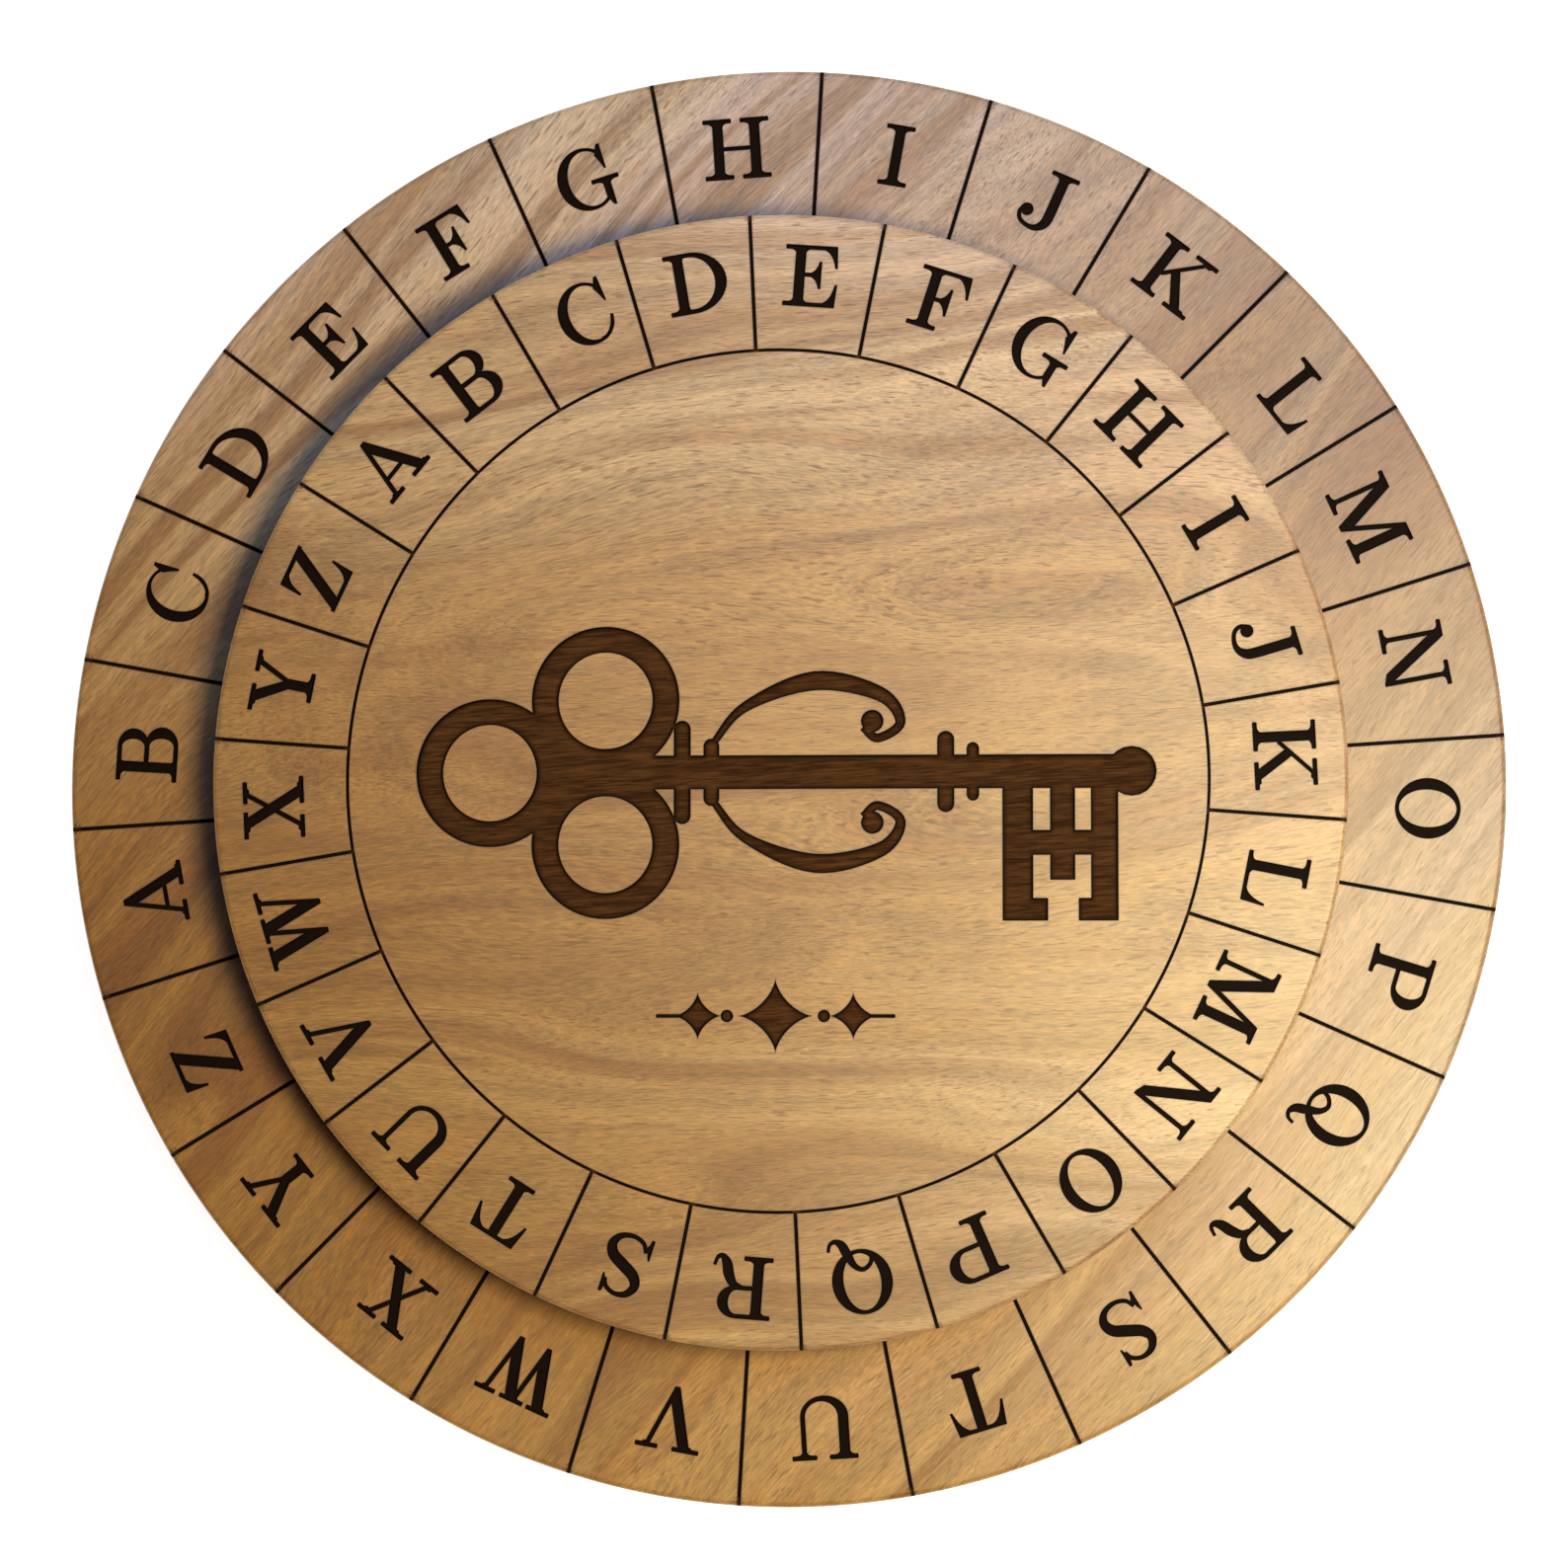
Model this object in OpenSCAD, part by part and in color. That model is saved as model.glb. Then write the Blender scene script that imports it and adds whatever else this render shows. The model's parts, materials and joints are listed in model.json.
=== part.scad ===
// A wooden cipher wheel: two round discs on one pivot, each with the alphabet
// in equal cells. The smaller disc turns on the larger one, so that each of its
// letters stands against another letter of the base.
// Millimetres. +Z points up out of the lettered face, +Y to the top of the face,
// and the origin is on the pivot's axis, on the plane that the feet stand on.

/* [Base disc] */
// Diameter of the base disc
base_d = 130; // [124:1:150]
// Thickness of the base disc
base_t = 9.5; // [9:0.5:14]
// Radius of the rounding on the base disc's edges
base_edge = 0.5; // [0.2:0.1:1.5]

/* [Turning disc] */
// Diameter of the turning disc
rotor_d = 101; // [90:1:104]
// Thickness of the turning disc
rotor_t = 6.35; // [6:0.05:10]
// Radius of the rounding on the turning disc's edges
rotor_edge = 0.4; // [0.2:0.1:1.5]

/* [Engraved scales] */
// Number of cells in each alphabet
cells = 26; // [20:1:30]
// Width of the base disc's division lines
base_line_w = 0.34; // [0.2:0.02:0.8]
// Width of the turning disc's division lines
rotor_line_w = 0.32; // [0.2:0.02:0.8]
// Depth of the engraved lines
line_depth = 0.35; // [0.2:0.05:0.6]
// How far the base disc's lines run on under the turning disc
line_under = 1.2; // [0.5:0.1:3]
// First base line, clockwise from the top of the face, in degrees
base_line_turn = 3.34; // [0:0.01:13.8]
// First line of the turning disc at rest, clockwise from the top, in degrees
rotor_line_turn = -2.63; // [-13.8:0.01:13.8]
// Radius of the ring line inside the turning disc's letters
ring_r = 38.3; // [34:0.1:40]
// Width of the ring line
ring_w = 0.27; // [0.2:0.01:0.6]

/* [Pivot] */
// Diameter of the pivot screw's shank
screw_d = 5; // [5:1:6]
// Length of the pivot screw under its head
screw_l = 10; // [10:0.5:11]
// Diameter of the pivot screw's button head
head_d = 9.5; // [9:0.1:11]
// Height of the pivot screw's button head
head_h = 2.75; // [2.2:0.05:3.3]
// Width across the flats of the hex socket
hex_af = 3; // [2.5:0.5:4]
// Outside diameter of the flanged bush
bush_d = 7; // [7:0.5:8]
// Outside diameter of the threaded insert
insert_d = 7; // [7:0.5:9]
// Length of the threaded insert
insert_l = 4; // [3.5:0.1:4.2]
// Diameter of the counterbore in the back of the base disc
counterbore_d = 13; // [12.5:0.5:16]
// Outside diameter of the nylon washer between the discs
glide_d = 24; // [15:1:40]
// Thickness of the nylon washer between the discs
glide_t = 0.5; // [0.3:0.1:1]

/* [Feet] */
// Diameter of a rubber foot where it is stuck on
foot_d = 10; // [8:0.5:14]
// Height of a rubber foot
foot_h = 2.2; // [1.5:0.1:4]
// Radius of the circle that the feet stand on
foot_circle_r = 55; // [40:1:56]
// Number of rubber feet
feet = 4; // [4:1:4]

/* [Hidden] */
$fn = 128;

far = 1;              // how far a cutter stands out past the face it cuts
run_gap = 0.05;       // clearance between pieces that turn past each other

flange_d = 11;        // the bush's flange
flange_t = 0.8;
washer_d = 10;        // a plain washer for this screw
washer_t = 1;
washer_bore = screw_d + 0.3;
wave_count = 3;       // the wave washer: waves round the ring,
wave_rise = 0.25;     // rise of a wave above the middle,
wave_t = 0.3;         // thickness of the strip
wave_h = 2 * wave_rise + wave_t;
wave_steps = 96;
head_land = 0.4;      // straight rim under the dome of the screw's head
head_flat_r = 2.9;    // flat top of the dome
socket_depth = 1.7;
thread_minor_d = 4.2; // bore of the insert, at the crests of its thread
insert_gap = 0.05;    // the insert stands this far inside the disc's back
insert_barb = 0.1;    // the barbs bite this far into the wood
head_recess = 0.45;   // the head lies this far inside the base disc's back
foot_taper = 1.2;     // the foot is this much narrower in radius at the floor
foot_round = 0.5;

// Levels, from the floor up
back_z = foot_h;
base_top_z = back_z + base_t;
rotor_back_z = base_top_z + glide_t + run_gap;
rotor_top_z = rotor_back_z + rotor_t;
head_z = back_z + head_recess;
washer_z = head_z + head_h;
wave_z = washer_z + washer_t + 0.01;
flange_z = wave_z + wave_h + run_gap;
counterbore_z = flange_z + flange_t;
insert_z = rotor_back_z + insert_gap;

// A round disc with both rims rounded, standing on the plane z = 0
module rounded_disc(r, t, edge) {
    rotate_extrude() {
        square([r - edge, t]);
        translate([0, edge]) square([r, t - 2 * edge]);
        for (z = [edge, t - edge])
            translate([r - edge, z]) circle(edge, $fn = 48);
    }
}

// Cutters for the division lines: one straight groove for each cell
module division_lines(first_turn, inner_r, outer_r, width, top_z) {
    for (i = [0:cells - 1])
        rotate([0, 0, -(first_turn + i * 360 / cells)])
            translate([-width / 2, inner_r, top_z - line_depth])
                cube([width, outer_r - inner_r, line_depth + far]);
}

// A flat ring between two radii, from z0 up to z1
module ring(outer_d, inner_d, z0, z1) {
    translate([0, 0, z0])
        difference() {
            cylinder(h = z1 - z0, d = outer_d);
            translate([0, 0, -far])
                cylinder(h = z1 - z0 + 2 * far, d = inner_d);
        }
}

module base_disc() {
    color("burlywood")
    difference() {
        translate([0, 0, back_z]) rounded_disc(base_d / 2, base_t, base_edge);
        translate([0, 0, back_z - far])
            cylinder(h = counterbore_z - back_z + far, d = counterbore_d);
        translate([0, 0, back_z]) cylinder(h = base_t + far, d = bush_d);
        division_lines(base_line_turn, rotor_d / 2 - line_under,
                       base_d / 2 - base_edge / 2, base_line_w, base_top_z);
    }
}

module rotor_disc() {
    hole_depth = insert_l + insert_gap + 0.15;
    color("navajowhite")
    difference() {
        translate([0, 0, rotor_back_z])
            rounded_disc(rotor_d / 2, rotor_t, rotor_edge);
        translate([0, 0, rotor_back_z - far])
            cylinder(h = hole_depth + far, d = insert_d);
        division_lines(rotor_line_turn, ring_r, rotor_d / 2 - rotor_edge / 2,
                       rotor_line_w, rotor_top_z);
        ring(2 * ring_r + ring_w, 2 * ring_r - ring_w,
             rotor_top_z - line_depth, rotor_top_z + far);
    }
}

// Brass insert pressed into the back of the turning disc, with three barbs
module threaded_insert() {
    barbs = 3;
    pitch = insert_l / barbs;
    color("goldenrod")
    translate([0, 0, insert_z])
        rotate_extrude()
            difference() {
                union() {
                    square([insert_d / 2 - 0.3, insert_l]);
                    for (i = [0:barbs - 1])
                        polygon([[0, i * pitch],
                                 [insert_d / 2 + insert_barb, i * pitch],
                                 [insert_d / 2 - 0.3, (i + 1) * pitch],
                                 [0, (i + 1) * pitch]]);
                }
                translate([0, -far])
                    square([thread_minor_d / 2, insert_l + 2 * far]);
            }
}

// Brass bush that lines the hole in the base disc, with its flange at the back
module pivot_bush() {
    color("darkgoldenrod")
    difference() {
        union() {
            translate([0, 0, flange_z]) cylinder(h = flange_t, d = flange_d);
            translate([0, 0, flange_z])
                cylinder(h = base_top_z - flange_z, d = bush_d);
        }
        translate([0, 0, flange_z - far])
            cylinder(h = base_top_z - flange_z + 2 * far, d = screw_d + 2 * run_gap);
    }
}

// Button-head screw, put in from the back. The dome's circle passes through the
// top of the straight rim and the edge of the flat.
module pivot_screw() {
    head_r = head_d / 2;
    dome_z = (head_r * head_r + head_land * head_land - head_flat_r * head_flat_r
              - head_h * head_h) / (2 * (head_land - head_h));
    dome_r = norm([head_flat_r, head_h - dome_z]);
    tip = 0.5;
    color("silver")
    difference() {
        union() {
            translate([0, 0, washer_z]) mirror([0, 0, 1])
                rotate_extrude()
                    intersection() {
                        square([head_r, head_h]);
                        translate([0, dome_z]) circle(dome_r, $fn = 160);
                    }
            translate([0, 0, washer_z]) cylinder(h = screw_l - tip, d = screw_d);
            translate([0, 0, washer_z + screw_l - tip])
                cylinder(h = tip, d1 = screw_d, d2 = screw_d - 2 * tip);
        }
        translate([0, 0, head_z - far])
            cylinder(h = socket_depth + far, d = hex_af / cos(30), $fn = 6);
    }
}

module flat_washer() {
    color("lightgray")
        ring(washer_d, washer_bore, washer_z, washer_z + washer_t);
}

// Spring washer: a flat strip bent into waves round the screw. Its middle height
// is wave_rise * cos(wave_count * angle).
module wave_washer() {
    inner_r = washer_bore / 2;
    outer_r = washer_d / 2 - 0.2;
    middle_z = wave_z + wave_h / 2;
    corners = [[inner_r, -1], [outer_r, -1], [outer_r, 1], [inner_r, 1]];
    points = [for (i = [0:wave_steps - 1], c = corners)
        let (a = i * 360 / wave_steps)
        [c[0] * cos(a), c[0] * sin(a),
         middle_z + wave_rise * cos(wave_count * a) + c[1] * wave_t / 2]];
    faces = [for (i = [0:wave_steps - 1], k = [0:3])
        let (j = (i + 1) % wave_steps, m = (k + 1) % 4)
        [4 * i + k, 4 * i + m, 4 * j + m, 4 * j + k]];
    color("gray") polyhedron(points, faces, convexity = 4);
}

// Nylon washer that carries the turning disc just clear of the base disc
module glide_washer() {
    color("whitesmoke")
        ring(glide_d, screw_d + 0.4, base_top_z, base_top_z + glide_t);
}

// Stick-on bumper: a truncated cone, rounded where it meets the floor
module rubber_foot(i) {
    floor_r = foot_d / 2 - foot_taper;
    angle = 45 + (i - 1) * 360 / feet;
    rounding = [for (a = [0:15:75])
        [floor_r - foot_round + foot_round * sin(a), foot_round * (1 - cos(a))]];
    color("dimgray")
    translate([foot_circle_r * cos(angle), foot_circle_r * sin(angle), 0])
        rotate_extrude()
            polygon(concat([[0, 0]], rounding, [[foot_d / 2, foot_h], [0, foot_h]]));
}

base_disc();
rotor_disc();
threaded_insert();
pivot_bush();
pivot_screw();
flat_washer();
wave_washer();
glide_washer();
rubber_foot(1);  // rubber_foot_1
rubber_foot(2);  // rubber_foot_2
rubber_foot(3);  // rubber_foot_3
rubber_foot(4);  // rubber_foot_4
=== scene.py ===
# %% [markdown]
# # A wooden cipher wheel
# Two round wooden discs share one pivot. Each carries the alphabet in 26 equal cells, and the smaller disc
# turns on the larger one, so that every letter of one scale stands against some letter of the other.
# The moving parts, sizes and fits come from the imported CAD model, which is loaded here as a fixed frame.
# What is left for this script is what the eye meets first: wood with grain that runs through the whole board,
# letters cut by a laser with scorched walls and streaky floors, and plain hardware on the back.
# The frame could be dressed with a picture of the letters laid over two flat discs. Real grooves are worth
# the extra code: they hold shadow, they stay sharp from any side, and they survive as geometry in an export.

import json

import bmesh
import bpy
import numpy as np
from mathutils import Matrix, Vector
from mathutils.geometry import delaunay_2d_cdt


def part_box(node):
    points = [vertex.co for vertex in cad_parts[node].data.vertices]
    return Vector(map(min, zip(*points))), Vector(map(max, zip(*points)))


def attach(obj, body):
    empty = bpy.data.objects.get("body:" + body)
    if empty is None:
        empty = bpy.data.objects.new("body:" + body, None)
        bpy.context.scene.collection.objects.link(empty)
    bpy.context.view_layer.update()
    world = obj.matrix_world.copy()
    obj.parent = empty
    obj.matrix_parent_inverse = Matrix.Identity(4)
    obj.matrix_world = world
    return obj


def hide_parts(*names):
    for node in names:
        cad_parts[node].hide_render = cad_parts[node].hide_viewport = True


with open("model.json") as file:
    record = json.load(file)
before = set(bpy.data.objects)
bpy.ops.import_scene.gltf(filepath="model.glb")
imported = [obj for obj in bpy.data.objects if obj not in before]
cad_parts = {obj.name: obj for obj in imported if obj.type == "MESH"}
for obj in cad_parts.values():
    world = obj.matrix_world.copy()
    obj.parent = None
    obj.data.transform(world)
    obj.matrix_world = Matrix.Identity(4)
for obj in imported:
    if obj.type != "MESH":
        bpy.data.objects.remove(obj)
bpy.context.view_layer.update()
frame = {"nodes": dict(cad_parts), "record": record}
nodes = frame["nodes"]

# %% [markdown]
# ## Sizes
# Shapes are worked out in millimetres and turned into Blender's metres when a mesh is made. Radii and levels
# are read back from the CAD nodes, so that the engraved discs fit the pivot without any trying. Only what the
# boxes can't say, such as the width of a line, is named here.

# %% Millimetres, and the levels of both boards
MM = 0.001
CELLS = 26
SEGMENTS = 20 * CELLS       # points round every circle of a disc


def levels(node):
    """Radius, lowest and highest level of a round node, in millimetres."""
    low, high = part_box(node)
    return high.x / MM, low.z / MM, high.z / MM


BASE_R, BACK_Z, BASE_TOP = levels("base_disc")
ROTOR_R, ROTOR_BACK, ROTOR_TOP = levels("rotor_disc")
BASE_EDGE, ROTOR_EDGE = 0.5, 0.4
PITCH = 360 / CELLS
BASE_TURN, ROTOR_TURN = 3.34, -2.63     # first line of each scale, clockwise from the top
LINE_DEPTH, LETTER_DEPTH, MARK_DEPTH = 0.35, 0.45, 0.6
BASE_LINE_W, ROTOR_LINE_W = 0.34, 0.32
BASE_LETTER_R, ROTOR_LETTER_R = 58.0, 45.0          # the middles of the letters
BASE_LETTER_UNIT, ROTOR_LETTER_UNIT = 0.0560, 0.0552    # a capital is 100 of these tall
RING_R, RING_W = 38.3, 0.27
print(f"base {BASE_R:.1f} mm to {BASE_TOP:.1f}, rotor {ROTOR_R:.1f} mm to {ROTOR_TOP:.1f}")

# %% [markdown]
# ## Drawing letters from strokes
# The scale is set in a bold book face: thick upright stems, hairline joins, bracketed serifs and ball ends.
# A text object with a font would be quicker, but the font's licence and its file would come along with it.
# So each letter is drawn as a carver thinks of it, from a few strokes. Every stroke is a row of small quads
# between two edges. Quads may overlap as they please, because one outline is taken round them all later.

# %% Strokes: strips, ellipses and beams
CAP = 100.0     # letters are drawn on a height of 100 units
STEM = 17.0     # thick strokes
HAIR = 7.5      # thin strokes
SLAB = 7.5      # thickness of a serif
ARM = 7.0       # thickness of a level arm
HEEL = 6.0      # radius of the fillet between a serif and its stem
ROUND = 2.0     # round letters stand this far past the line at top and bottom


def strip(left, right):
    """Quads between two lines of points that run side by side: quad k joins points k and k + 1 of both."""
    left, right = np.asarray(left, float), np.asarray(right, float)
    return list(np.stack([left[:-1], left[1:], right[1:], right[:-1]], 1))


def ellipse(cx, cy, a, b, t0, t1, n=24):
    """n + 1 points on an ellipse: x = cx + a cos t and y = cy + b sin t, with t in degrees."""
    t = np.radians(np.linspace(t0, t1, n + 1))
    return np.stack([cx + a * np.cos(t), cy + b * np.sin(t)], 1)


def band(outer, inner, t0, t1, n=24):
    """The space between two ellipses (cx, cy, a, b) over the same run of angles."""
    return strip(ellipse(*outer, t0, t1, n), ellipse(*inner, t0, t1, n))


def beam(x0, y0, x1, y1):
    """An upright or level rectangle."""
    return strip([(x0, y0), (x1, y0)], [(x0, y1), (x1, y1)])


def limb(foot_x, top_x, foot_w, top_w=None, foot_y=0.0, top_y=CAP):
    """A leaning stroke with level ends. Its widths are measured along x."""
    top_w = foot_w if top_w is None else top_w
    return strip([(foot_x - foot_w / 2, foot_y), (top_x - top_w / 2, top_y)],
                 [(foot_x + foot_w / 2, foot_y), (top_x + top_w / 2, top_y)])


def ball(cx, cy, r, n=20):
    """A round dot, as two half discs."""
    return strip(ellipse(cx, cy, r, r, 0, 180, n // 2), ellipse(cx, cy, r, r, 0, -180, n // 2))


def hoop(outer, inner, n=36):
    """The whole space between two ellipses, as two half bands."""
    return band(outer, inner, 0, 180, n) + band(outer, inner, 180, 360, n)


print("one strip of a ring has", len(band((0, 0, 9, 9), (0, 0, 7, 7), 0, 90)), "quads")


# %% Strokes: serifs and stems
def serif(x0, x1, left, right, y=0.0, up=1, heel=HEEL):
    """A slab from x0 to x1 with clipped corners, and a quarter-ellipse fillet on each side of a stem that
    spans left to right. It grows upwards from y where up is 1, and downwards where up is -1."""
    rim = 1.5
    x = np.array([x0, x0 + rim, x1 - rim, x1])
    inset = np.array([rim, 0, 0, rim])
    quads = strip(np.stack([x, y + up * inset], 1), np.stack([x, y + up * (SLAB - inset)], 1))
    a = np.radians(np.linspace(0, 90, 6))
    rise = y + up * (SLAB + heel * (1 - np.cos(a)))
    for edge, side, free in ((left, -1, left - x0), (right, 1, x1 - right)):
        if free > 1:
            out = edge + side * min(1.5 * heel, free) * (1 - np.sin(a))
            quads += strip(np.stack([out, rise], 1), np.stack([0 * out + (left + right) / 2, rise], 1))
    return quads


def stem(cx, w=STEM, foot=None, head=None, y0=0.0, y1=CAP):
    """An upright stroke with a serif at its foot and at its head, each given as its two ends."""
    quads = beam(cx - w / 2, y0, cx + w / 2, y1)
    if foot:
        quads += serif(*foot, cx - w / 2, cx + w / 2, y0, 1)
    if head:
        quads += serif(*head, cx - w / 2, cx + w / 2, y1, -1)
    return quads


def barb(x, y, side, up, length, lean=0.0, root=13.0, tip=4.0):
    """The wedge on the end of an arm. It leaves the arm's outer corner (x, y) and runs length away from the
    arm, and its inner edge sweeps back to the arm along a quadratic curve."""
    s = np.linspace(0, 1, 7)[:, None]
    corner = np.array([x, y])
    end = np.array([x + side * lean, y + up * length])
    p0 = np.array([x - side * (root + 9), y + up * (SLAB - 1)])
    p1 = np.array([x - side * (tip + 3.0), y + up * (SLAB + 3)])
    p2 = end - [side * tip, 0]
    inner = (1 - s) ** 2 * p0 + 2 * s * (1 - s) * p1 + s ** 2 * p2
    return strip(corner + (end - corner) * s, inner)


# %% Strokes: curves that swell and taper
def smooth(points, n=8):
    """A Catmull-Rom curve through the rows of points, with n steps to each gap: on each gap a cubic whose
    slope at a row is half the difference of that row's two neighbours."""
    p = np.asarray(points, float)
    p = np.vstack([2 * p[0] - p[1], p, 2 * p[-1] - p[-2]])
    t = (np.arange(n) / n)[:, None]
    gaps = [0.5 * (2 * b + (c - a) * t + (2 * a - 5 * b + 4 * c - d) * t ** 2
                   + (3 * b - a - 3 * c + d) * t ** 3)
            for a, b, c, d in zip(p, p[1:], p[2:], p[3:])]
    return np.vstack(gaps + [p[-2:-1]])


def sweep(points, n=6):
    """A stroke along a smooth path of rows (x, y, width). Each side is the path moved half a width along
    its normal."""
    path = smooth(points, n)
    xy, w = path[:, :2], path[:, 2:]
    d = np.gradient(xy, axis=0)
    normal = np.stack([-d[:, 1], d[:, 0]], 1) / np.linalg.norm(d, axis=1)[:, None]
    return strip(xy + normal * w / 2, xy - normal * w / 2)


def vee(thick, thin, tip, thick_w=19.0, thin_w=8.0, tip_w=8.0, tip_y=-3.0, top_y=CAP):
    """Two limbs that meet in a point, as in V. Each outer edge runs straight from the top to the tip, each
    inner edge runs beside it, and the crotch is where the two inner edges cross."""
    s = 1 if thick < thin else -1
    outer = np.array([[thick - s * thick_w / 2, top_y], [tip - s * tip_w / 2, tip_y]])
    other = np.array([[thin + s * thin_w / 2, top_y], [tip + s * tip_w / 2, tip_y]])
    inner, inner2 = outer + [s * thick_w, 0], other - [s * thin_w, 0]
    d, e = inner[1] - inner[0], inner2[1] - inner2[0]
    k, _ = np.linalg.solve(np.stack([d, -e], 1), inner2[0] - inner[0])
    crotch = inner[0] + k * d
    level = outer[0] + k * (outer[1] - outer[0])
    level2 = other[0] + (crotch[1] - top_y) / (tip_y - top_y) * (other[1] - other[0])
    return (strip([outer[0], level, outer[1]], [inner[0], crotch, other[1]])
            + strip([other[0], level2, other[1]], [inner2[0], crotch, crotch]))


def bowl(x, y0, y1, right, thick=17.0, thin=HAIR):
    """The round part of B, D, P and R: two level hairlines from x, closed by a band that swells to thick."""
    cy, b = (y0 + y1) / 2, (y1 - y0) / 2
    a = min(right - x - 6, b * 1.15)
    cx = right - a
    quads = band((cx, cy, a, b), (cx, cy, a - thick, b - thin), -90, 90, 22)
    return quads + beam(x, y1 - thin, cx, y1) + beam(x, y0, cx, y0 + thin)


# %% Letters with more than one curve
def letter_o():
    return hoop((48.5, 50, 48.5, 50 + ROUND), (48.5, 50, 30, 43.5 + ROUND))


def hook(x):
    """The upright wedge that ends the top of C and G. Its right edge is at x."""
    left = [(x - 3, 59), (x - 8, 73), (x - 13, 84), (x - 10, 90), (x - 5.5, 101)]
    return strip(left, [(x, y) for _, y in left])


def letter_c():
    return (band((47, 50, 47, 50 + ROUND), (52, 50, 34, 44 + ROUND), 52, 292, 44) + hook(85)
            + sweep([(56, 2.2, 7), (63.4, 3.9, 5.8), (72, 10, 6.2), (79.5, 20, 6.5), (84.5, 34.5, 5)]))


def letter_g():
    return (band((48, 50, 48, 50 + ROUND), (52.5, 50, 34.5, 44 + ROUND), 52, 316, 48) + hook(84)
            + beam(72, 8, 84.5, 42) + serif(54, 100, 72, 84.5, 46, -1)
            + strip([(72, 12), (80, -3)], [(84.5, 16), (84.5, -3)]))


def letter_j():
    tail = [(51, 50, 17), (51, 34, 17), (49, 15, 16), (39, 3, 11), (25, 0.5, 7.5), (10, 5.5, 7), (4, 16, 7),
            (7, 26, 8)]
    return stem(51, STEM, None, (27, 75), 34) + sweep(tail) + ball(13.5, 25, 10.5)


def letter_q():
    tail = [(27, 9, 6), (31, 23, 7), (44, 31, 7.5), (57, 23, 10), (66, 3, 15), (72, -12, 14), (82, -19, 8),
            (91, -15, 6), (95, -4, 5)]
    return letter_o() + sweep(tail)


def letter_r():
    leg = [(48, 50.5, 7), (62, 45, 13), (70, 30, 17), (74, 13, 16), (81, 2.5, 10), (89, 4, 6.5), (94, 17, 5)]
    return stem(23, STEM, (0, 47), (0, 34)) + bowl(23, 47, 100, 86, 17.5) + sweep(leg)


def letter_s():
    spine = [(62, 78, 6), (56, 91, 7), (40, 98, 7.5), (22, 93.5, 11), (12.5, 78, 15), (20, 62.5, 18),
             (40, 50.5, 19), (60, 38.5, 18), (66.5, 22, 15), (57, 7, 10), (37, 1.8, 7.5), (19, 8, 7),
             (11, 22, 6)]
    return (sweep(spine, 9)
            + strip([(64.5, 71), (61, 80), (57, 87), (60, 92), (62, 101)],
                    [(67, y) for y in (71, 80, 87, 92, 101)])
            + strip([(2, y) for y in (-1, 8, 14, 21, 33)],
                    [(7, -1), (9, 8), (13, 14), (9, 21), (4.5, 33)]))


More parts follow.
